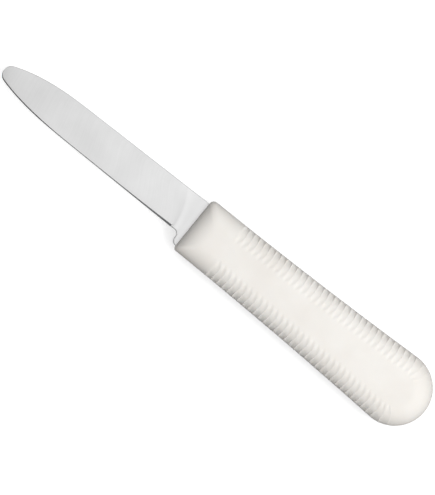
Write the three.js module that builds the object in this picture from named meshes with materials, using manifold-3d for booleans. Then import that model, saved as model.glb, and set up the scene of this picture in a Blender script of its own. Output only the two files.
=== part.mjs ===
import * as THREE from 'three';
import { mergeVertices, toCreasedNormals } from 'three/addons/utils/BufferGeometryUtils.js';
import Module from 'manifold-3d';

// Clam knife lying on its side, in millimetres. The tip points to -X, the cutting edge to -Y
// and the lower flat of the handle rests on Z = 0. Shapes are drawn with x = 0 at the handle's
// front and z = 0 in the blade's middle plane, then moved into place at the end.

// Handle, one moulding
const HANDLE_LENGTH = 94;
const HANDLE_THICKNESS = 14;
const FRONT_WIDTH = 20.1;
const BUTT_RADIUS = 12;
const EDGE_ROUND = 6; // rounding of the long edges and the butt, across the side
const EDGE_DROP = 5.2; // and down the edge
const FRONT_ROUND = 7; // rounding of the front, back along the side
const SPINE_CORNER = 1.4; // front corners seen from the side, above the spine
const HEEL_CORNER = 0.8; // and below the heel
const RIB_START = 13.2; // handle front to the first rib
const RIB_STOP = 14; // last rib to the end of the butt, round the outline
const RIB_PITCH = 2.13;
const RIB_SHALLOW = 0.17; // hollows between the ribs, by the flat side
const RIB_DEEP = 0.46; // and by the edge
const RIB_RISE = 0.5; // share of the depth by which ribs stand above the rounding
const RIB_FADE = 8; // last stretch of the ribs, where they fan round the butt and fade

// Blade outline, stamped from sheet
const BLADE_REACH = 77; // tip to handle front
const BLADE_THICKNESS = 1.6;
const SPINE_LEDGE = 1.75; // handle left above the spine at the front
const SPINE_SLOPE = 0.019; // the straight part of the spine sinks this much per mm towards the tip
const EDGE_DEPTH = 5.1; // cutting edge below the handle's centre line
const POINT_LENGTH = 32; // swept part of the outline, measured from the tip
const NOSE_RADIUS = 3; // blunt rounded tip
const NOSE_HEIGHT = 0.33; // middle of the nose above the centre line
const HEEL_STEP = 2; // step of the heel in front of the handle
const HEEL_FILLET = 1.5; // inside corner, from the edge into the step
const HEEL_ROUND = 1.9; // outside corner of the step

// Grinding
const SPINE_GRIND = 0.03; // taken off each side along the spine
const SHOULDER_ALONG = 0.6; // thickness left just above the sharpened bevel
const SHOULDER_AT_HEEL = 1.5;
const BEVEL_ALONG = 0.3; // width of the sharpened bevel
const BEVEL_AT_HEEL = 0.85;
const THICKENING = 8; // length over which both grow towards the heel
const EDGE_GROUND = 0.12; // thickness of the edge itself
const HEEL_FLAT = 1.7; // unsharpened edge between the bevel and the heel
const PLUNGE_SWEEP = 3.8; // the grind ends this much nearer the tip at the spine than at the edge
const WHEEL_RADIUS = 6; // curve in which the grind runs out
const STONE_RADIUS = 1.2; // curve in which the bevel ends

// Tang, hidden in the handle
const SHOULDER_DEPTH = 4; // full-height part inside the handle
const TANG_WIDTH = 11;
const TANG_LENGTH = 58; // handle front to the end of the tang
const LOCK_HOLE = 5; // plastic flows through two holes and locks the blade
const LOCK_FROM_SHOULDER = 16;
const LOCK_FROM_END = 14;
const CLEARANCE = 0.3; // between steel and plastic

const steel = new THREE.MeshStandardMaterial({ color: 0xd0d2d3, roughness: 0.34, metalness: 1 });
steel.name = 'satin_ground_steel';
const plastic = new THREE.MeshStandardMaterial({ color: 0xf0eee8, roughness: 0.45, metalness: 0 });
plastic.name = 'white_polypropylene';

const { lerp, smoothstep } = THREE.MathUtils;
const quarter = Math.PI / 2;
const wasm = await Module();
wasm.setup();

function toManifold(geometry) {
  const bare = geometry.clone();
  bare.deleteAttribute('normal');
  bare.deleteAttribute('uv');
  const merged = mergeVertices(bare, 1e-5);
  const mesh = new wasm.Mesh({
    numProp: 3,
    vertProperties: new Float32Array(merged.attributes.position.array),
    triVerts: new Uint32Array(merged.index.array),
  });
  return new wasm.Manifold(mesh);
}

function toGeometry(manifold) {
  const mesh = manifold.getMesh();
  const geometry = new THREE.BufferGeometry();
  geometry.setAttribute('position', new THREE.BufferAttribute(mesh.vertProperties, 3));
  geometry.setIndex(new THREE.BufferAttribute(mesh.triVerts, 1));
  return geometry;
}

// Flat plate of a given thickness, centred on the blade's middle plane.
function plate(shape, thickness) {
  const geometry = new THREE.ExtrudeGeometry(shape, {
    depth: thickness,
    bevelEnabled: false,
    curveSegments: 16,
  });
  geometry.translate(0, 0, -thickness / 2);
  return geometry;
}

// Closed body skinned over rings of points. Seen from outside the first cap a ring runs clockwise.
// Caps are ladders of faces between points of a ring whose places add up to fold.
function skin(rings, fold) {
  const count = rings[0].length;
  const index = [];
  for (let j = 0; j + 1 < rings.length; j += 1) {
    for (let i = 0; i < count; i += 1) {
      const a = j * count + i;
      const b = j * count + ((i + 1) % count);
      index.push(a, b, b + count);
      index.push(a, b + count, a + count);
    }
  }
  const last = (rings.length - 1) * count;
  for (let i = 0; 2 * i + 2 <= fold; i += 1) {
    const a = i;
    const b = i + 1;
    const c = fold - b;
    const d = (fold - a) % count;
    if (b !== c) index.push(c, b, a, last + a, last + b, last + c);
    if (a !== d) index.push(d, c, a, last + a, last + c, last + d);
  }
  const geometry = new THREE.BufferGeometry();
  geometry.setFromPoints(rings.flat());
  geometry.setIndex(index);
  return geometry;
}

// Handle outline: the sides flare as a parabola and run tangent into the round butt.
const buttX = HANDLE_LENGTH - BUTT_RADIUS;
const flare = Math.atan2(2 * (BUTT_RADIUS - FRONT_WIDTH / 2), buttX);
const flareX = buttX - BUTT_RADIUS * Math.sin(flare);
const flareGain = BUTT_RADIUS * Math.cos(flare) - FRONT_WIDTH / 2;
const outlineEnd = flareX + BUTT_RADIUS * (quarter + flare);

// Point on the upper half of the outline, at a distance round it from the front, moved inwards.
function outlinePoint(distance, inset) {
  if (distance > flareX) {
    const angle = (outlineEnd - distance) / BUTT_RADIUS;
    const radius = BUTT_RADIUS - inset;
    return new THREE.Vector2(buttX + radius * Math.cos(angle), radius * Math.sin(angle));
  }
  const width = FRONT_WIDTH / 2 + flareGain * (distance / flareX) ** 2;
  const inward = new THREE.Vector2((2 * flareGain * distance) / flareX ** 2, -1).normalize();
  return new THREE.Vector2(distance, width).addScaledVector(inward, inset);
}

const ribs = Math.floor((outlineEnd - RIB_STOP - RIB_START) / RIB_PITCH);
const ribEnd = RIB_START + ribs * RIB_PITCH;
const edgeDrop = Math.min(EDGE_DROP, (HANDLE_THICKNESS - BLADE_THICKNESS) / 2 - CLEARANCE);
const spineCorner = Math.min(SPINE_CORNER, SPINE_LEDGE - CLEARANCE);

// Depth of the hollows at one place of the edge rounding. They end at the flat side and at the
// parting line, so the outline stays smooth.
function hollowDepth(turn) {
  const ends = (1 - Math.cos(turn) ** 500) * (1 - Math.sin(turn) ** 60);
  return ends * lerp(RIB_SHALLOW, RIB_DEEP, smoothstep(turn, 0.27 * quarter, 0.78 * quarter));
}

// Half of a loop round the handle, from the middle of the front to the end of the butt, at one place
// of the edge rounding: turn is 0 on the flat and a quarter on the edge. The front has its own,
// longer rounding, so the two meet in hips at the front corners.
function halfRing(turn, corner) {
  const ribSteps = 4;
  const cornerSteps = 3;
  const buttSteps = 12;
  const inset = EDGE_ROUND * (1 - Math.sin(turn));
  const level = HANDLE_THICKNESS / 2 - edgeDrop * (1 - Math.cos(turn));
  const frontX = FRONT_ROUND * (1 - Math.sin(turn));
  const cornerX = frontX + corner;
  const cornerY = outlinePoint(cornerX, inset).y - corner;
  const half = [];
  const add = (x, y, sink = 0) => half.push(new THREE.Vector3(x, y, level - sink));

  add(frontX, 0);
  add(frontX, cornerY / 2);
  for (let i = 0; i <= cornerSteps; i += 1) {
    const angle = 2 * quarter - (i / cornerSteps) * quarter;
    add(cornerX + corner * Math.cos(angle), cornerY + corner * Math.sin(angle));
  }
  const plain = outlinePoint((cornerX + RIB_START) / 2, inset);
  add(plain.x, plain.y);

  for (let i = 0; i <= ribs * ribSteps; i += 1) {
    const distance = RIB_START + (RIB_PITCH * i) / ribSteps;
    const fade = 1 - smoothstep(distance, ribEnd - RIB_FADE, ribEnd + RIB_PITCH);
    const flute = Math.abs(Math.sin((2 * quarter * i) / ribSteps)) - RIB_RISE;
    const depth = hollowDepth(turn) * fade * flute;
    const rib = outlinePoint(distance, inset + depth * Math.sin(turn));
    add(rib.x, rib.y, depth * Math.cos(turn));
  }
  for (let i = 1; i <= buttSteps; i += 1) {
    const butt = outlinePoint(lerp(ribEnd, outlineEnd, i / buttSteps), inset);
    add(butt.x, butt.y);
  }
  return half;
}

function handleRing(turn, side) {
  const upper = halfRing(turn, spineCorner);
  const lower = halfRing(turn, HEEL_CORNER).slice(1, -1).reverse();
  const mirror = new THREE.Vector3(1, -1, 1);
  const loop = [...upper, ...lower.map((point) => point.multiply(mirror))];
  return loop.map((point) => point.setZ(side * point.z));
}

function handleBody() {
  const roundSteps = 6;
  const turns = Array.from({ length: roundSteps + 1 }, (_, i) => (quarter * i) / roundSteps);
  const upper = turns.map((turn) => handleRing(turn, 1));
  const lower = turns.map((turn) => handleRing(turn, -1));
  return skin([...upper, ...lower.reverse()], upper[0].length);
}

// One long side of the blade: straight by the handle, then swept to the nose by a cubic.
const noseX = NOSE_RADIUS - BLADE_REACH;
const sweepEnd = POINT_LENGTH - BLADE_REACH;

function bladeSide(sign, straight) {
  const spread = sign * (straight(-BLADE_REACH) - NOSE_HEIGHT) - NOSE_RADIUS;
  const lean = Math.atan2(3 * spread, POINT_LENGTH - NOSE_RADIUS);
  const joinX = noseX - NOSE_RADIUS * Math.sin(lean);
  const joinY = NOSE_HEIGHT + sign * NOSE_RADIUS * Math.cos(lean);
  const sweep = joinY - straight(joinX);
  const at = (x) => straight(x) + sweep * Math.max(0, (sweepEnd - x) / (sweepEnd - joinX)) ** 3;
  return { at, joinX, lean };
}

const spineY = FRONT_WIDTH / 2 - SPINE_LEDGE;
const spine = bladeSide(1, (x) => spineY + SPINE_SLOPE * x);
const edge = bladeSide(-1, () => -EDGE_DEPTH);

// The heel comes down as far as the flat of the handle's front reaches.
const heelY = HEEL_CORNER + CLEARANCE - FRONT_WIDTH / 2;
const heelDrop = -EDGE_DEPTH - heelY;
const heelFillet = Math.min(HEEL_FILLET, heelDrop / 2);
const heelRound = Math.min(HEEL_ROUND, heelDrop / 2);
const heelX = -HEEL_STEP - heelFillet;

// Shoulder and tang inside the handle, grown by a margin on every side.
function traceTang(path, grow) {
  const shoulder = SHOULDER_DEPTH + grow;
  const half = TANG_WIDTH / 2 + grow;
  path.lineTo(shoulder, heelY - grow);
  path.lineTo(shoulder, -half);
  path.absarc(TANG_LENGTH - TANG_WIDTH / 2, 0, half, -quarter, quarter, false);
  path.lineTo(shoulder, half);
  path.lineTo(shoulder, spineY + grow);
}

function lockHoles(shrink) {
  return [SHOULDER_DEPTH + LOCK_FROM_SHOULDER, TANG_LENGTH - LOCK_FROM_END].map((x) => {
    const hole = new THREE.Path();
    hole.absarc(x, 0, LOCK_HOLE / 2 - shrink, 0, 4 * quarter, true);
    return hole;
  });
}

function blankShape() {
  const sweepSteps = 14;
  const shape = new THREE.Shape();
  shape.moveTo(edge.joinX, edge.at(edge.joinX));
  for (let i = 1; i <= sweepSteps; i += 1) {
    const x = lerp(edge.joinX, sweepEnd, i / sweepSteps);
    shape.lineTo(x, edge.at(x));
  }
  shape.absarc(heelX, -EDGE_DEPTH - heelFillet, heelFillet, quarter, 0, true);
  shape.absarc(heelRound - HEEL_STEP, heelY + heelRound, heelRound, 2 * quarter, 3 * quarter, false);
  traceTang(shape, 0);
  shape.lineTo(0, spineY);
  for (let i = 0; i <= sweepSteps; i += 1) {
    const x = lerp(sweepEnd, spine.joinX, i / sweepSteps);
    shape.lineTo(x, spine.at(x));
  }
  shape.absarc(noseX, NOSE_HEIGHT, NOSE_RADIUS, quarter + spine.lean, 3 * quarter - edge.lean, false);
  shape.holes = lockHoles(0);
  return shape;
}

// A size that grows towards the heel, as the grind leaves more and more steel there.
function growing(along, atHeel, x) {
  return lerp(along, atHeel, Math.exp((x - heelX) / THICKENING));
}

function bevelWidth(x) {
  return growing(BEVEL_ALONG, BEVEL_AT_HEEL, x);
}

// Where the grind starts to run out, at a share of the way from the edge up to the spine.
function plungeX(share) {
  return heelX - HEEL_FLAT - PLUNGE_SWEEP * share ** 2;
}

// Half thickness that grinding leaves: a flat from the spine down, the sharpened bevel below it,
// and the curves in which wheel and stone leave the sheet towards the handle.
function groundHalf(x, y) {
  const rise = y - edge.at(x);
  const share = rise / (spine.at(x) - edge.at(x));
  const shoulder = growing(SHOULDER_ALONG, SHOULDER_AT_HEEL, x);
  const flat = lerp(shoulder / 2, BLADE_THICKNESS / 2 - SPINE_GRIND, share);
  const bevel = lerp(EDGE_GROUND / 2, shoulder / 2, rise / bevelWidth(x));
  const past = Math.max(0, x - plungeX(share)) ** 2 / 2;
  return Math.min(flat + past / WHEEL_RADIUS, bevel + past / STONE_RADIUS);
}

// What the wheel takes away on one side of the blade: all that lies beyond the ground surface.
function grindCutter(side) {
  const shares = [-0.02, 0, 0.2, 0.4, 0.6, 0.8, 1.08]; // rows from below the edge to above the spine
  const bevelRow = 1;
  const lengthSteps = 24;
  const runOutSteps = 5;
  const runOut = 1.1 * Math.sqrt(WHEEL_RADIUS * BLADE_THICKNESS);
  const ring = (placeX) => {
    const ground = shares.map((share, row) => {
      const x = placeX(share);
      const rise = row === bevelRow ? bevelWidth(x) : share * (spine.at(x) - edge.at(x));
      const y = edge.at(x) + rise;
      return new THREE.Vector3(x, y, side * groundHalf(x, y));
    });
    const beyond = ground.map((point) => point.clone().setZ(side * 2 * BLADE_THICKNESS));
    const loop = [...ground, ...beyond.reverse()];
    return side > 0 ? loop : loop.reverse();
  };
  const rings = [];
  for (let i = 0; i <= lengthSteps; i += 1) {
    const far = 1.02 * (1 - i / lengthSteps);
    rings.push(ring((share) => lerp(plungeX(share), -BLADE_REACH, far)));
  }
  for (let i = 1; i <= runOutSteps; i += 1) {
    rings.push(ring((share) => plungeX(share) + (runOut * i) / runOutSteps));
  }
  return skin(rings, rings[0].length - 1);
}

// Room for the tang, open at the front. The lock holes stay filled with plastic.
function tangRoom() {
  const shape = new THREE.Shape();
  shape.moveTo(-HEEL_STEP, heelY - CLEARANCE);
  traceTang(shape, CLEARANCE);
  shape.lineTo(-HEEL_STEP, spineY + CLEARANCE);
  shape.holes = lockHoles(CLEARANCE);
  return plate(shape, BLADE_THICKNESS + 2 * CLEARANCE);
}

function piece(name, manifold, material) {
  const geometry = toGeometry(manifold);
  geometry.translate((BLADE_REACH - HANDLE_LENGTH) / 2, 0, HANDLE_THICKNESS / 2);
  const mesh = new THREE.Mesh(toCreasedNormals(geometry, Math.PI / 6), material);
  mesh.name = name;
  return mesh;
}

const blank = toManifold(plate(blankShape(), BLADE_THICKNESS));
const blade = blank.subtract(toManifold(grindCutter(1))).subtract(toManifold(grindCutter(-1)));
const handle = toManifold(handleBody()).subtract(toManifold(tangRoom()));

const knife = new THREE.Group();
knife.name = 'clam_knife';
knife.add(piece('blade', blade, steel));
knife.add(piece('handle', handle, plastic));

export default knife;
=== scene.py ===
import math

import bmesh
import bpy
import numpy as np
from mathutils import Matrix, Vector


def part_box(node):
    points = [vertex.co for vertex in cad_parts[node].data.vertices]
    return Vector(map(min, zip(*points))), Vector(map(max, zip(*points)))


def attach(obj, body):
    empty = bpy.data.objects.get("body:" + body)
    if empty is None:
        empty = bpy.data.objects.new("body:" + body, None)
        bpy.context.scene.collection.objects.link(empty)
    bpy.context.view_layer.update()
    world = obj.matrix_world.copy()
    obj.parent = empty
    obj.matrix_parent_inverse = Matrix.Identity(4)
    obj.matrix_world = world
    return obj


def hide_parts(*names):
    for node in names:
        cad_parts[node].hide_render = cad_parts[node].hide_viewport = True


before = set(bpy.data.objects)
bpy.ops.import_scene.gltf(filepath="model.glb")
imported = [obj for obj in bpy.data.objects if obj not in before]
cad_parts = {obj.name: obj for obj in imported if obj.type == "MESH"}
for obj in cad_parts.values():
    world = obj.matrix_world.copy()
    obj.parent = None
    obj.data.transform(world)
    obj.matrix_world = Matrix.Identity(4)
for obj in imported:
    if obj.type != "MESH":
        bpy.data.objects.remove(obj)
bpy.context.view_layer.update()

mm = 0.001  # lengths below are in millimetres, Blender works in metres
weldGap = 1e-7  # metres; points of a mesh that are nearer than this become one
handleLow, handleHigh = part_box("handle")
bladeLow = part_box("blade")[0]
print("frame loaded:", ", ".join(sorted(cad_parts)))

# What both pieces share. Shapes are drawn with x = 0 at the handle's front, the tip towards -x, the
# spine towards +y and z = 0 in the blade's middle plane; origin is where that point lies in the frame.
fit = {
    "origin": np.array([handleLow.x, 0, (handleLow.z + handleHigh.z) / 2]) / mm,
    "frontWidth": 20.1,  # handle across its front
    "bladeThickness": 1.6,
    "spineLedge": 1.75,  # plastic left above the spine
    "heelLedge": 1.1,  # and below the heel
    "bladeInside": 3.6,  # length of blade that is drawn inside the handle
    "play": 0.04,  # hairline between plastic and steel
}
spineY = fit["frontWidth"] / 2 - fit["spineLedge"]
heelY = fit["heelLedge"] - fit["frontWidth"] / 2


def lerp(start, stop, share):
    return start + (stop - start) * share


# Smooth step from 0 at start to 1 at stop.
def ease(value, start, stop):
    share = np.clip((value - start) / (stop - start), 0, 1)
    return share ** 2 * (3 - 2 * share)


# An sRGB hex colour as linear light.
def linear(hexColour):
    channels = np.array([int(hexColour[i:i + 2], 16) for i in (1, 3, 5)]) / 255
    bright = ((channels + 0.055) / 1.055) ** 2.4
    return (*np.where(channels > 0.04045, bright, channels / 12.92).tolist(), 1.0)


# Adds a shader node: fixed values and wires for its sockets, then its own settings.
def addNode(tree, kind, values=None, wires=None, **settings):
    node = tree.nodes.new("ShaderNode" + kind)
    for name, value in settings.items():
        setattr(node, name, value)
    for socket, value in (values or {}).items():
        node.inputs[socket].default_value = value
    for socket, source in (wires or {}).items():
        tree.links.new(source, node.inputs[socket])
    return node


def newMaterial(name):
    material = bpy.data.materials.new(name)
    material.use_nodes = True
    material.node_tree.nodes.clear()
    return material, material.node_tree


# Stops are pairs of a place and a colour, from left to right.
def setRamp(node, stops):
    elements, stops = node.color_ramp.elements, list(stops)
    for position, colour in stops[2:]:
        elements.new(position)
    for element, (position, colour) in zip(elements, stops):
        element.position = position
        element.color = linear(colour)


# Quads of a grid of points: rows j and j + 1, stations i and i + 1, closed round the stations.
def gridFaces(rows, stations):
    i = np.arange(stations)
    j = np.arange(rows - 1)[:, None] * stations
    here, beside = j + i, j + (i + 1) % stations
    return np.stack([here, here + stations, beside + stations, beside], axis=-1).reshape(-1, 4)


# Puts points in mm and quads into a mesh, welds its seams and poles, and creases edges past the angle.
def makePiece(name, points, faces, creaseAngle, material, uv=None, attributes=None):
    mesh = bpy.data.meshes.new(name)
    mesh.vertices.add(len(points))
    mesh.vertices.foreach_set("co", ((points + fit["origin"]) * mm).astype(np.float32).ravel())
    mesh.loops.add(faces.size)
    mesh.loops.foreach_set("vertex_index", faces.astype(np.int32).ravel())
    mesh.polygons.add(len(faces))
    mesh.polygons.foreach_set("loop_start", np.arange(0, faces.size, 4, dtype=np.int32))
    mesh.update(calc_edges=True)
    if uv is not None:
        corners = uv[faces.ravel()].astype(np.float32)
        mesh.uv_layers.new(name="grind").data.foreach_set("uv", corners.ravel())
    for key, values in (attributes or {}).items():
        mesh.attributes.new(key, "FLOAT", "POINT").data.foreach_set("value", values.astype(np.float32))
    weld = bmesh.new()
    weld.from_mesh(mesh)
    bmesh.ops.remove_doubles(weld, verts=weld.verts, dist=weldGap)
    weld.to_mesh(mesh)
    weld.free()
    mesh.shade_smooth()
    mesh.set_sharp_from_angle(angle=math.radians(creaseAngle))
    mesh.materials.append(material)
    piece = bpy.data.objects.new(name, mesh)
    bpy.context.scene.collection.objects.link(piece)
    print(name, "made with", len(mesh.polygons), "faces")
    return piece


# Injection moulded polypropylene, unpainted. The tool's spark-eroded skin leaves a fine even grain that
# spreads highlights wide, and the resin lets a little light in, so edges look soft and warm.
plasticLook = {
    "white": "#f3f0eb",
    "grey": "#eeeae4",  # slightly greyer flow patches
    "patch": 14.0,  # mm across a patch
    "patchRange": (0.35, 0.65),  # noise at which a patch is fully grey and fully white
    "roughness": (0.60, 0.70),
    "ior": 1.49,
    "grain": 0.35,  # mm; the real grain is under 0.1 mm, drawn coarser so that it shows
    "grainHeight": 0.008,  # mm
    "softness": 0.6,  # mm that light travels inside
    "softShare": 0.08,  # share of the light that gets in
    "softReach": (1.0, 0.85, 0.7),  # red goes farthest
}


def mouldedPolypropylene():
    look = plasticLook
    material, tree = newMaterial("moulded_polypropylene")
    place = addNode(tree, "TexCoord").outputs["Object"]
    patches = addNode(tree, "TexNoise", {"Scale": 1 / (look["patch"] * mm), "Detail": 3}, {"Vector": place})
    colour = addNode(tree, "ValToRGB", wires={"Fac": patches.outputs["Fac"]})
    setRamp(colour, zip(look["patchRange"], (look["grey"], look["white"])))
    grain = addNode(tree, "TexNoise", {"Scale": 1 / (look["grain"] * mm), "Detail": 2}, {"Vector": place})
    low, high = look["roughness"]
    gloss = addNode(tree, "MapRange", {"To Min": low, "To Max": high}, {"Value": grain.outputs["Fac"]})
    bump = addNode(tree, "Bump", {"Distance": look["grainHeight"] * mm}, {"Height": grain.outputs["Fac"]})
    skin = addNode(
        tree, "BsdfPrincipled",
        {
            "IOR": look["ior"],
            "Subsurface Weight": look["softShare"],
            "Subsurface Radius": look["softReach"],
            "Subsurface Scale": look["softness"] * mm,
        },
        {
            "Base Color": colour.outputs["Color"],
            "Roughness": gloss.outputs["Result"],
            "Normal": bump.outputs["Normal"],
        },
    )
    addNode(tree, "OutputMaterial", wires={"Surface": skin.outputs["BSDF"]})
    return material


# The handle, one moulding: rounded long edges with ribs, a round butt and a longer rounding at the front.
handleSize = {
    "length": (handleHigh.x - handleLow.x) / mm,
    "thickness": (handleHigh.z - handleLow.z) / mm,
    "buttRadius": (handleHigh.y - handleLow.y) / 2 / mm,
    "edgeRound": 6.7,  # rounding of the long edges and the butt, across the side
    "edgeDrop": 5.4,  # and down the edge
    "frontRound": 7.0,  # the front is rounded this far back along the side
    "corners": (1.65, 1.0),  # front corners seen from the side, above the spine and below the heel
    "slotLean": 0.02,  # the walls of the blade's slot lean this much
    "ribStart": 13.2,
    "ribStop": 14.0,  # last rib to the end of the butt, round the outline
    "ribPitch": 2.13,
    "ribFade": (5.0, 9.0),  # ribs fade from this far before the last one, by the flat side and by the edge
    "fadePast": 3,  # to this many pitches behind it
    "fanGain": 0.5,  # share by which the pitch grows where they fan round the butt
    "ribDepth": (0.17, 0.115, 0.8),  # hollows between ribs by the flat side, halfway and by the edge
    "deepening": (24, 37, 66),  # degrees of the rounding at which these depths are reached
    "ribEnds": (300, 10),  # powers that end the ribs at the flat side and before the parting line
    "ribRise": 0.65,  # share of the depth by which ribs stand above the rounding
    "hollowPower": (1.3, 0.22),  # hollows are narrow at both ends and broad in between
    "ribBow": 0.34,  # the middle of a rib stands this far behind its ends
    "bowLead": 0.4,  # share of the bow by which its ends stand ahead of the even pitch
    "bending": (0, 27, 66),  # degrees of the rounding between which it bends there and back
    "flash": 0.04,  # the mould's parting line stands this proud of the edge
    "flashWidth": 0.12,
    "edgeRow": 0.3,  # a row of points between the flash and the slot lies this far from the parting line
    "frontMarks": (0, 2, 4, 6, 7.5),  # points across the front lie this far from its middle
    "panelRim": 0.02,  # share by which the flat side's outermost ring is drawn in
    "steps": {"round": 24, "corner": 8, "plain": 10, "rib": 16, "butt": 44, "panel": 3},
    "crease": 38,  # degrees between faces that show as an edge
}

butt = handleSize["buttRadius"]
buttX = handleSize["length"] - butt
flare = math.atan2(2 * butt - fit["frontWidth"], buttX)
flareX = buttX - butt * math.sin(flare)
flareGain = butt * math.cos(flare) - fit["frontWidth"] / 2
outlineEnd = flareX + butt * (math.pi / 2 + flare)
ribbedLength = outlineEnd - handleSize["ribStop"] - handleSize["ribStart"]
ribCount = math.floor(ribbedLength / handleSize["ribPitch"])
ribEnd = handleSize["ribStart"] + ribCount * handleSize["ribPitch"]


# Upper half of the outline at a distance round it from the front, moved inwards by the inset: the half
# width grows with the square of the distance, then an arc about the middle of the butt takes over.
def outlinePoint(distance, inset):
    slope = 2 * flareGain * distance / flareX ** 2
    steep = np.hypot(slope, 1)
    width = fit["frontWidth"] / 2 + flareGain * (distance / flareX) ** 2
    angle = (outlineEnd - distance) / butt
    onArc = distance > flareX
    x = np.where(onArc, buttX + (butt - inset) * np.cos(angle), distance + inset * slope / steep)
    y = np.where(onArc, (butt - inset) * np.sin(angle), width - inset / steep)
    return x, y


# Rows go from the middle of one side over its rounding and across the edge to the other side, stations
# go round the outline. The edges are quarter ellipses of edgeRound by edgeDrop, and the front is one that
# reaches back by frontRound. A hollow between ribs is a raised cosine along the outline, to a power that
# is lowest halfway round the edge, where it leaves a narrow rib between broad hollows. Its depth goes by
# smooth steps over the turn of the rounding, and high powers of cosine and sine end it at the flat side
# and before the parting line. The ribs bow towards the butt, and their pitch grows where the arc starts.
def handleSurface():
    size, steps = handleSize, handleSize["steps"]
    half, roundness = size["thickness"] / 2, size["edgeRound"]
    slotHalf = fit["bladeThickness"] / 2 + fit["play"]
    lean, flashWidth = size["slotLean"], size["flashWidth"]

    turn = np.linspace(0, math.pi / 2, steps["round"] + 1)
    band = np.array([slotHalf + lean, slotHalf, size["edgeRow"], flashWidth, flashWidth / 2, 0])
    inset = np.append(roundness * (1 - np.sin(turn)), 0 * band)[:, None]
    level = np.append(half - size["edgeDrop"] * (1 - np.cos(turn)), band)[:, None]
    outward = np.append(np.sin(turn), 1 + 0 * band)[:, None]
    upward = np.append(np.cos(turn), 0 * band)[:, None]
    inset = inset + size["flash"] * (1 - np.exp(-(level / flashWidth) ** 2))
    frontX = size["frontRound"] * (1 - outward)
    slotDepth = (fit["bladeInside"] + fit["play"]) * (level < slotHalf + lean / 2)

    # ribs, then the round butt behind them
    turned = np.degrees(np.arcsin(outward))
    early, halfway, late = size["deepening"]
    shallow, slack, deep = size["ribDepth"]
    relief = lerp(lerp(shallow, slack, ease(turned, early, halfway)), deep, ease(turned, halfway, late))
    panelPower, partingPower = size["ribEnds"]
    relief = relief * (1 - upward ** panelPower) * (1 - outward ** partingPower)
    power = lerp(*size["hollowPower"], 1 - (1 - 2 * outward ** 2) ** 4)
    bendStart, bendTop, bendStop = size["bending"]
    there, back = ease(turned, bendStart, bendTop), ease(turned, bendTop, bendStop)
    bow = size["ribBow"] * (size["bowLead"] - there + back)
    along = np.arange(ribCount * steps["rib"] + 1) / steps["rib"]
    ribbed = size["ribStart"] + size["ribPitch"] * along - bow
    fadeStop = ribEnd + size["fadePast"] * size["ribPitch"]
    fade = 1 - ease(ribbed, ribEnd - lerp(*size["ribFade"], outward), fadeStop)
    hollow = (1 - np.cos(2 * math.pi * along)) / 2
    ribs = relief * fade * (hollow ** power - size["ribRise"])
    ribbed = ribbed + size["fanGain"] * np.maximum(0, ribbed - flareX)
    rounded = lerp(ribbed[:, -1:], outlineEnd, np.arange(1, steps["butt"] + 1) / steps["butt"])

    # one half of the way round: the front with stations on both sides of the slot's end, the corner, a
    # plain stretch, the ribs and the butt; the blade's slot is pressed into the front
    def halfWay(corner, slotEnd):
        marks = np.array([*size["frontMarks"], slotEnd, slotEnd + lean])
        angle = math.pi - np.linspace(0, math.pi / 2, steps["corner"] + 1)
        cornerX = frontX + corner
        cornerY = outlinePoint(cornerX, inset)[1] - corner
        plain = lerp(cornerX, size["ribStart"] - bow, np.arange(1, steps["plain"]) / steps["plain"])
        depth = np.hstack([0 * plain, ribs, 0 * rounded])
        sideX, sideY = outlinePoint(np.hstack([plain, ribbed, rounded]), inset + depth * outward)
        frontPlaces = frontX + slotDepth * (marks < slotEnd + lean / 2)
        x = np.hstack([frontPlaces, cornerX + corner * np.cos(angle), sideX])
        y = np.hstack([cornerY * marks / cornerY[-1], cornerY + corner * np.sin(angle), sideY])
        z = level - np.hstack([0 * frontPlaces, 0 * cornerX * angle, depth * upward])
        return np.stack([x, y, np.minimum(z, half)], -1)  # ribs stay under the flat side

    spineHalf = halfWay(size["corners"][0], spineY + fit["play"])
    heelHalf = halfWay(size["corners"][1], fit["play"] - heelY)[:, -2:0:-1] * [1, -1, 1]
    rings = np.concatenate([spineHalf, heelHalf], axis=1)

    # flat side: the first ring drawn in, share by share, to a line along its middle
    inwards = np.append(np.arange(steps["panel"], 0, -1) / steps["panel"], size["panelRim"])
    midLine = (rings[0] + np.roll(rings[0, ::-1], 1, axis=0)) / 2 * [1, 0, 1]
    midLine[:, 0] = np.clip(midLine[:, 0], frontX[0] + fit["frontWidth"] / 2 - roundness, buttX)
    points = np.concatenate([lerp(rings[0], midLine, inwards[:, None, None]), rings])

    # the other side is its mirror image and shares the row in the middle
    points = np.concatenate([points, points[-2::-1] * [1, 1, -1]])
    rows, stations = points.shape[:2]
    return points.reshape(-1, 3), gridFaces(rows, stations)[:, ::-1]


handle = makePiece("knife_handle", *handleSurface(), handleSize["crease"], mouldedPolypropylene())
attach(handle, "root")
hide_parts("handle")


# Stainless sheet, ground across the blade on a wheel and left satin. The fine scratches run from spine
# to edge and stretch highlights along the blade; the stock by the handle keeps its smoother tumbled skin.
steelLook = {
    "dark": "#c3c3c3",
    "bright": "#d3d3d3",
    "paintedBevelReflection": "#6a6b6c",  # painted reflection: the bevel's colour is darkened to stand in for the dark side of the room that it mirrors; the bevel is also smoother
    "toneStops": (0.0, 0.2, 0.8),  # tones at which the colour is fully the painted bevel reflection, the dark and the bright steel
    "lift": (0.22, 0.15),  # tone of the stock and of the ground sides, before clouds and scratches
    "scratch": 0.45,  # mm; real scratches lie about 0.05 mm apart, drawn coarser so that they show
    "scratchLength": 26.0,  # mm
    "scratchHeight": 0.0025,  # mm
    "scratchTone": 0.5,  # how much of the tone the scratches change
    "scratchGloss": 0.12,  # change of roughness along the scratches
    "cloud": 11.0,  # mm across a cloudy patch
    "cloudTone": 0.6,  # and the clouds
    "stockRoughness": 0.30,
    "groundRoughness": 0.36,
    "bevelRoughness": 0.25,
    "stretch": 0.4,  # how far the scratches draw highlights out
}


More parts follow.
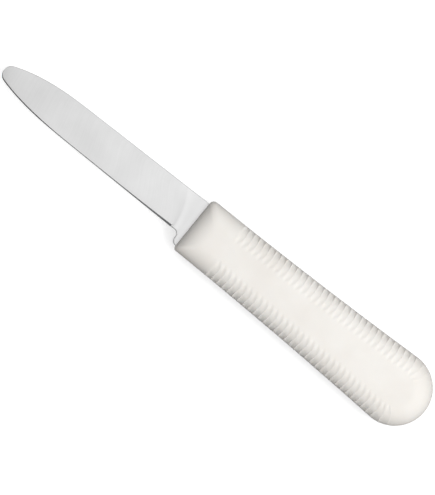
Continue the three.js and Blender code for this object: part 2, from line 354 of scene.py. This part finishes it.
def satinGroundSteel():
    look = steelLook
    material, tree = newMaterial("satin_ground_stainless_steel")
    across = addNode(tree, "UVMap", uv_map="grind").outputs["UV"]
    place = addNode(tree, "TexCoord").outputs["Object"]
    ground = addNode(tree, "Attribute", attribute_name="ground").outputs["Fac"]
    bevel = addNode(tree, "Attribute", attribute_name="bevel").outputs["Fac"]
    lanes = addNode(tree, "Mapping", {"Scale": (1 / look["scratch"], 1 / look["scratchLength"], 1)},
                    {"Vector": across})
    scratches = addNode(tree, "TexNoise", {"Scale": 1, "Detail": 4, "Roughness": 0.6},
                        {"Vector": lanes.outputs["Vector"]}).outputs["Fac"]
    clouds = addNode(tree, "TexNoise", {"Scale": 1 / (look["cloud"] * mm), "Detail": 3},
                     {"Vector": place}).outputs["Fac"]

    # tone: clouds everywhere, scratches where the wheel went, the stock a little lighter
    cut = addNode(tree, "Math", {1: 0.5}, {0: scratches}, operation="SUBTRACT")  # noise about zero
    worn = addNode(tree, "Math", wires={0: cut.outputs[0], 1: ground}, operation="MULTIPLY").outputs[0]
    stockLift, groundLift = look["lift"]
    lift = addNode(tree, "MapRange", {"To Min": stockLift, "To Max": groundLift}, {"Value": ground})
    cloudy = addNode(tree, "Math", {1: look["cloudTone"]}, {0: clouds, 2: lift.outputs["Result"]},
                     operation="MULTIPLY_ADD")
    tone = addNode(tree, "Math", {1: look["scratchTone"]}, {0: worn, 2: cloudy.outputs[0]},
                   operation="MULTIPLY_ADD")
    # on the bevel the tone drops to the ramp's left end, the painted dark reflection
    shown = addNode(tree, "Math", wires={0: tone.outputs[0], 1: bevel}, operation="SUBTRACT")
    colour = addNode(tree, "ValToRGB", wires={"Fac": shown.outputs[0]})
    setRamp(colour, zip(look["toneStops"], (look["paintedBevelReflection"], look["dark"], look["bright"])))

    satin = addNode(tree, "MapRange", {"To Min": look["stockRoughness"], "To Max": look["groundRoughness"]},
                    {"Value": ground})
    streaked = addNode(tree, "Math", {1: look["scratchGloss"]}, {0: worn, 2: satin.outputs["Result"]},
                       operation="MULTIPLY_ADD")
    gloss = addNode(tree, "MapRange", {"To Max": look["bevelRoughness"]},
                    {"Value": bevel, "To Min": streaked.outputs[0]})
    bump = addNode(tree, "Bump", {"Distance": look["scratchHeight"] * mm}, {"Height": worn})
    lie = addNode(tree, "Tangent", direction_type="UV_MAP", uv_map="grind")
    steel = addNode(
        tree, "BsdfPrincipled",
        {"Metallic": 1.0, "Anisotropic": look["stretch"]},
        {
            "Base Color": colour.outputs["Color"],
            "Roughness": gloss.outputs["Result"],
            "Normal": bump.outputs["Normal"],
            "Tangent": lie.outputs["Tangent"],
        },
    )
    addNode(tree, "OutputMaterial", wires={"Surface": steel.outputs["BSDF"]})
    return material


# The blade: stamped outline with a blunt nose and a stepped heel, flat grind, narrow sharpened bevel.
bladeSize = {
    "reach": (handleLow.x - bladeLow.x) / mm,
    "spineSlope": 0.019,  # the straight part of the spine sinks this much per mm towards the tip
    "edgeDepth": 5.1,  # cutting edge below the handle's centre line
    "pointLength": 32.0,  # swept part of the outline, measured from the tip
    "noseRadius": 3.0,
    "noseHeight": 0.33,
    "heelStep": 2.0,  # step of the heel in front of the handle
    "heelFillet": 1.5,
    "heelRound": 1.9,
    "spineGrind": 0.004,  # taken off each side along the spine
    "shoulder": (0.6, 1.57),  # thickness left just above the bevel, along the blade and at the heel
    "bevel": (0.225, 0.83),  # width of the bevel in the same places
    "bevelGain": 0.12,  # it widens again by this much where the edge sweeps up to the nose
    "bevelSweep": (-44.0, -64.0),  # between these places
    "thickening": 14.0,  # length over which both grow towards the heel
    "edge": 0.12,  # thickness of the edge itself
    "bevelStop": 0.25,  # length in which the bevel ends
    "heelFlat": 1.7,  # unsharpened edge between the bevel and the heel
    "plungeGap": 0.8,  # the grind ends this far in front of the heel
    "plungeSweep": 4.2,  # the grind ends this much nearer the tip at the spine than at the edge
    "wheelRadius": (14.0, 500.0),  # of the curve in which the grind runs out, at the edge and at the spine
    "broken": (0.4, 0.28),  # rounding of the stamped edges, at the heel and along the spine
    "bandRows": (0, 0.1, 0.35, 1, 1.06),  # rows over the bevel or a broken edge, in shares of its width
    "bandLimit": 0.25,  # which is at most this share of the blade's height
    "steps": {"nose": 20, "length": 150, "runOut": 16, "heelArc": 12, "tail": 8, "height": 22},
    "crease": 14,  # degrees between faces that show as an edge
}

noseX = bladeSize["noseRadius"] - bladeSize["reach"]
sweepEnd = bladeSize["pointLength"] - bladeSize["reach"]
heelX = -bladeSize["heelStep"] - bladeSize["heelFillet"]
bevelEnd = heelX - bladeSize["heelFlat"]


# One long side of the blade: straight by the handle, then a cubic that runs tangent into the nose arc.
def bladeSide(sign, straight):
    size = bladeSize
    spread = sign * (straight(-size["reach"]) - size["noseHeight"]) - size["noseRadius"]
    lean = math.atan2(3 * spread, size["pointLength"] - size["noseRadius"])
    joinX = noseX - size["noseRadius"] * math.sin(lean)
    sweep = size["noseHeight"] + sign * size["noseRadius"] * math.cos(lean) - straight(joinX)

    def height(x):
        return straight(x) + sweep * np.maximum(0, (sweepEnd - x) / (sweepEnd - joinX)) ** 3

    return height, joinX, lean


spineAt, spineJoin, spineLean = bladeSide(1, lambda x: spineY + bladeSize["spineSlope"] * np.minimum(x, 0))
edgeAt, edgeJoin, edgeLean = bladeSide(-1, lambda x: -bladeSize["edgeDepth"] + 0 * x)


# A pair of sizes, the second at the heel, blended by an exponential along the blade.
def thickening(pair, x):
    return lerp(*pair, np.exp((x - heelX) / bladeSize["thickening"]))


# Width of the bevel, which grows towards the heel and by a smooth step towards the nose.
def bevelWidth(x):
    return thickening(bladeSize["bevel"], x) + bladeSize["bevelGain"] * ease(x, *bladeSize["bevelSweep"])


# Half thickness of the flat grind at a share of the height.
def flatHalf(x, share):
    stock = fit["bladeThickness"] / 2
    return lerp(thickening(bladeSize["shoulder"], x) / 2, stock - bladeSize["spineGrind"], share)


# The plunge line, where the grind ends: a parabola across the blade.
def plungeLine(share):
    return heelX - bladeSize["plungeGap"] - bladeSize["plungeSweep"] * share ** 2


# Radius of the curve in which the wheel leaves the sheet, growing with the square of the height.
def wheelRadius(share):
    return lerp(*bladeSize["wheelRadius"], share ** 2)


# Length of that curve: the root of twice its radius times the depth that is left to climb.
def runOut(share):
    left = fit["bladeThickness"] / 2 - flatHalf(plungeLine(share), share)
    return np.sqrt(2 * wheelRadius(share) * left)


# Share of the bevel that is still there as it ends towards the heel.
def bevelLeft(x):
    return 1 - np.clip((x - bevelEnd) / bladeSize["bevelStop"], 0, 1)


# Half thickness that grinding leaves: a flat from the spine down to the shoulder, which rises with the
# square of the distance where the wheel leaves the sheet, and the bevel below it.
def groundHalf(x, y):
    size = bladeSize
    stock = fit["bladeThickness"] / 2
    rise = np.maximum(0, y - edgeAt(x))
    share = rise / (spineAt(x) - edgeAt(x))
    past = np.maximum(0, x - plungeLine(share) + runOut(share))
    flat = np.minimum(stock, flatHalf(x, share) + past ** 2 / (2 * wheelRadius(share)))
    bevel = lerp(size["edge"] / 2, thickening(size["shoulder"], x) / 2, rise / bevelWidth(x))
    return np.minimum(flat, lerp(stock, bevel, bevelLeft(x)))


# Stations run from the nose to inside the handle, each from a point of the lower outline to one of the
# upper outline. Rows climb one side of the blade and come down the other. Between its ends a station
# bends like the plunge line, so that the scratches, which follow the stations, do too.
def bladeSurface():
    size, steps = bladeSize, bladeSize["steps"]
    tail = fit["bladeInside"]
    arc = np.linspace(0, math.pi / 2, steps["heelArc"])

    def shares(name):
        return np.arange(steps[name]) / steps[name]

    # nose, length of the blade, run-out of the grind
    turnDown = lerp(math.pi, 1.5 * math.pi - edgeLean, shares("nose"))
    turnUp = lerp(math.pi, 0.5 * math.pi + spineLean, shares("nose"))
    spread, leaving = shares("length"), shares("runOut")

    def outlineX(joinX, share):
        stop, climb = plungeLine(share), runOut(share)
        return np.hstack([lerp(joinX, stop - climb, spread), stop - climb * (1 - leaving)])

    lowX, highX = outlineX(edgeJoin, 0), outlineX(spineJoin, 1)

    # heel: inside corner, outside corner, then straight into the handle
    filletX = heelX + size["heelFillet"] * np.sin(arc)
    filletY = -size["edgeDepth"] - size["heelFillet"] * (1 - np.cos(arc))
    roundX = -size["heelStep"] + size["heelRound"] * (1 - np.cos(arc))
    roundY = heelY + size["heelRound"] * (1 - np.sin(arc))
    tailX = lerp(roundX[-1], tail, (1 + np.arange(steps["tail"])) / steps["tail"])
    heelPathX = np.hstack([plungeLine(0), filletX, roundX, tailX])
    heelPathY = np.hstack([-size["edgeDepth"], filletY, roundY, heelY + 0 * tailX])
    walked = np.append(0, np.cumsum(np.hypot(np.diff(heelPathX), np.diff(heelPathY))))
    done = walked / walked[-1]
    highX = np.hstack([highX, lerp(plungeLine(1), tail, done)])

    footX = np.hstack([noseX + size["noseRadius"] * np.cos(turnDown), lowX, heelPathX])
    footY = np.hstack([size["noseHeight"] + size["noseRadius"] * np.sin(turnDown), edgeAt(lowX), heelPathY])
    headX = np.hstack([noseX + size["noseRadius"] * np.cos(turnUp), highX])
    headY = np.hstack([size["noseHeight"] + size["noseRadius"] * np.sin(turnUp), spineAt(highX)])
    bend = np.hstack([0 * turnDown, -spread, leaving - 1, 0 * done])
    ground = np.hstack([1 + 0 * turnDown, 1 + 0 * spread, 1 + 0 * leaving, 0 * done])

    # rows: close together over the bevel and over the broken edges
    height = np.hypot(headX - footX, headY - footY)
    sharpened = bevelLeft(footX)
    heelRadius, spineRadius = size["broken"]

    def bandShare(width):
        limit = size["bandLimit"] * height
        return np.minimum(width, limit) / np.maximum(height, 1e-9)  # the nose's first station has no height

    lowBand = bandShare(lerp(heelRadius, bevelWidth(footX), sharpened))
    highBand = bandShare(spineRadius)
    bandRows = np.array(size["bandRows"])[:, None]
    between = np.arange(1, steps["height"])[:, None] / steps["height"]
    low, high = bandRows * lowBand, 1 - bandRows[::-1] * highBand
    share = np.vstack([low, lerp(low[-1], high[0], between), high])
    sweep = runOut(share) - lerp(runOut(0), runOut(1), share ** 2)
    x = lerp(footX, headX, share ** 2) + bend * sweep
    y = lerp(footY, headY, share)

    # what a quarter circle takes off at a distance from the edge
    def breakEdge(distance, radius):
        gap = np.maximum(0, radius - distance)
        return radius - np.sqrt(radius ** 2 - gap ** 2)

    toFoot = np.hypot(x[..., None] - footX, y[..., None] - footY).min(-1)
    toHead = (1 - share) * height
    heelBreak = (1 - sharpened) * breakEdge(toFoot, heelRadius)
    half = groundHalf(x, y) - heelBreak - breakEdge(toHead, spineRadius)
    side = np.stack([x, y, half], -1)
    points = np.concatenate([side, side[::-1] * [1, 1, -1]]).transpose(1, 0, 2)

    alongBlade = np.broadcast_to(footX, x.shape)
    uv = np.stack([alongBlade, share * height], -1)
    uv = np.concatenate([uv, uv[::-1]]).transpose(1, 0, 2)
    # rows up to the top of the bevel, with a hundredth to spare, as far as over half of it is left; this
    # mark makes them smoother and paints the bevel's dark reflection into their colour
    onBevel = (share <= 1.01 * lowBand) & (sharpened > 0.5)
    marks = {"ground": np.broadcast_to(ground, x.shape), "bevel": onBevel.astype(float)}
    marks = {key: np.concatenate([mark, mark[::-1]]).T.ravel() for key, mark in marks.items()}

    stations, rows = points.shape[:2]
    last = (stations - 1) * rows + np.arange(rows // 2 - 1)
    far = (stations - 1) * rows + rows - 1 - np.arange(rows // 2 - 1)
    tailFaces = np.stack([far, far - 1, last + 1, last], -1)
    faces = np.concatenate([gridFaces(stations, rows), tailFaces])
    return points.reshape(-1, 3), faces, uv.reshape(-1, 2), marks


bladePoints, bladeFaces, bladeUv, bladeMarks = bladeSurface()
blade = makePiece("knife_blade", bladePoints, bladeFaces, bladeSize["crease"], satinGroundSteel(), bladeUv,
                  bladeMarks)
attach(blade, "root")
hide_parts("blade")


# Matt white table that curves up far away. The eye and mirrors see it almost white with a faint shadow,
# while the light that it throws back at the knife is that of a grey table, which keeps the edges dark.
floorLook = {
    "glow": 0.46,
    "seen": "#f4f4f4",
    "thrown": "#484848",
    "inner": 1.0,  # metres out to its first ring of points
    "flat": 6.0,  # metres out to where it starts to climb
    "rim": 10.0,  # metres
    "lift": 2.5,  # metres at the rim
    "below": 0.05,  # mm under the handle
    "steps": {"climb": 9, "round": 64},
    "crease": 30,  # degrees
}


def tableMaterial():
    look = floorLook
    material, tree = newMaterial("matt_white_table")
    path = addNode(tree, "LightPath").outputs
    seen = addNode(tree, "Math", wires={0: path["Is Camera Ray"], 1: path["Is Glossy Ray"]},
                   operation="ADD")
    shown = addNode(tree, "Math", wires={0: seen.outputs[0], 1: path["Is Transmission Ray"]},
                    operation="ADD", use_clamp=True)
    glow = addNode(tree, "Emission", {"Strength": look["glow"]})
    face = addNode(tree, "BsdfDiffuse", {"Color": linear(look["seen"])})
    both = addNode(tree, "AddShader", wires={0: glow.outputs[0], 1: face.outputs[0]})
    thrown = addNode(tree, "BsdfDiffuse", {"Color": linear(look["thrown"])})
    mixed = addNode(tree, "MixShader",
                    wires={0: shown.outputs[0], 1: thrown.outputs[0], 2: both.outputs[0]})
    addNode(tree, "OutputMaterial", wires={"Surface": mixed.outputs[0]})
    material.cycles.emission_sampling = "NONE"
    return material


# A disc whose height grows with the square of the radius beyond its flat part.
def tableSurface():
    look, steps = floorLook, floorLook["steps"]
    climbing = np.linspace(look["flat"], look["rim"], steps["climb"])
    radius = np.append([0, look["inner"]], climbing)[:, None] / mm
    angle = np.linspace(0, 2 * math.pi, steps["round"], endpoint=False)
    climb = np.maximum(0, (radius * mm - look["flat"]) / (look["rim"] - look["flat"])) ** 2
    z = look["lift"] / mm * climb - look["below"] - handleSize["thickness"] / 2 + 0 * angle
    points = np.stack([radius * np.cos(angle), radius * np.sin(angle), z], -1)
    return points.reshape(-1, 3), gridFaces(len(radius), len(angle))


makePiece("studio_table", *tableSurface(), floorLook["crease"], tableMaterial())

# Studio light: a broad soft glow overhead that leans to the butt and the spine, and one soft key lamp
# from the same side.
lightLook = {
    "glowAxis": (0.18, 0.19, 0.95),  # where the glow is brightest
    "glow": 1.64,
    "spread": 4.0,  # it falls off with this power of the cosine
    "fill": 0.35,  # even light from everywhere
    "keyFrom": (0.58, 0.14, 0.80),  # direction from the knife to the lamp
    "keyDistance": 0.6,  # metres
    "keySize": 0.35,  # metres
    "keyPower": 1.42,  # watts
}


def studioLight():
    look = lightLook
    world = bpy.data.worlds.new("studio")
    world.use_nodes = True
    tree = world.node_tree
    tree.nodes.clear()
    direction = addNode(tree, "TexCoord").outputs["Generated"]
    axis = np.array(look["glowAxis"]) / np.linalg.norm(look["glowAxis"])
    facing = addNode(tree, "VectorMath", {1: axis}, {0: direction}, operation="DOT_PRODUCT")
    upper = addNode(tree, "Math", {1: 0.0}, {0: facing.outputs["Value"]}, operation="MAXIMUM")
    lobe = addNode(tree, "Math", {1: look["spread"]}, {0: upper.outputs[0]}, operation="POWER")
    power = addNode(tree, "Math", {1: look["glow"], 2: look["fill"]}, {0: lobe.outputs[0]},
                    operation="MULTIPLY_ADD")
    sky = addNode(tree, "Background", wires={"Strength": power.outputs[0]})
    addNode(tree, "OutputWorld", wires={"Surface": sky.outputs[0]})
    bpy.context.scene.world = world

    lamp = bpy.data.lights.new("key", "AREA")
    lamp.energy = look["keyPower"]
    lamp.size = look["keySize"]
    key = bpy.data.objects.new("key", lamp)
    towards = np.array(look["keyFrom"]) / np.linalg.norm(look["keyFrom"])
    key.location = towards * look["keyDistance"]
    flatLength = math.hypot(towards[0], towards[1])
    key.rotation_euler = (0, math.atan2(flatLength, towards[2]), math.atan2(towards[1], towards[0]))
    key.visible_camera = False
    bpy.context.scene.collection.objects.link(key)
    print("studio lit")


studioLight()

# The camera looks straight down on the knife, which lies askew in the picture.
cameraLook = {
    "pixel": 0.3155,  # mm of knife in one pixel
    "frame": (435, 495),
    "middle": (2.149, -0.889),  # mm, point of the frame under the picture's centre
    "turn": 39.06,  # degrees
    "distance": 1600.0,  # mm above the blade
    "sensor": 36.0,  # mm
    "farthest": 100,  # metres that it sees
}


def overheadCamera():
    look = cameraLook
    lens = bpy.data.cameras.new("camera")
    lens.sensor_width = look["sensor"]
    lens.lens = look["sensor"] * look["distance"] / (max(look["frame"]) * look["pixel"])
    lens.clip_end = look["farthest"]
    camera = bpy.data.objects.new("camera", lens)
    camera.location = np.array([*look["middle"], fit["origin"][2] + look["distance"]]) * mm
    camera.rotation_euler = (0, 0, math.radians(look["turn"]))
    bpy.context.scene.collection.objects.link(camera)
    bpy.context.scene.camera = camera
    print("camera set, lens", round(lens.lens, 1), "mm")


overheadCamera()
bpy.context.scene.view_settings.view_transform = "Standard"
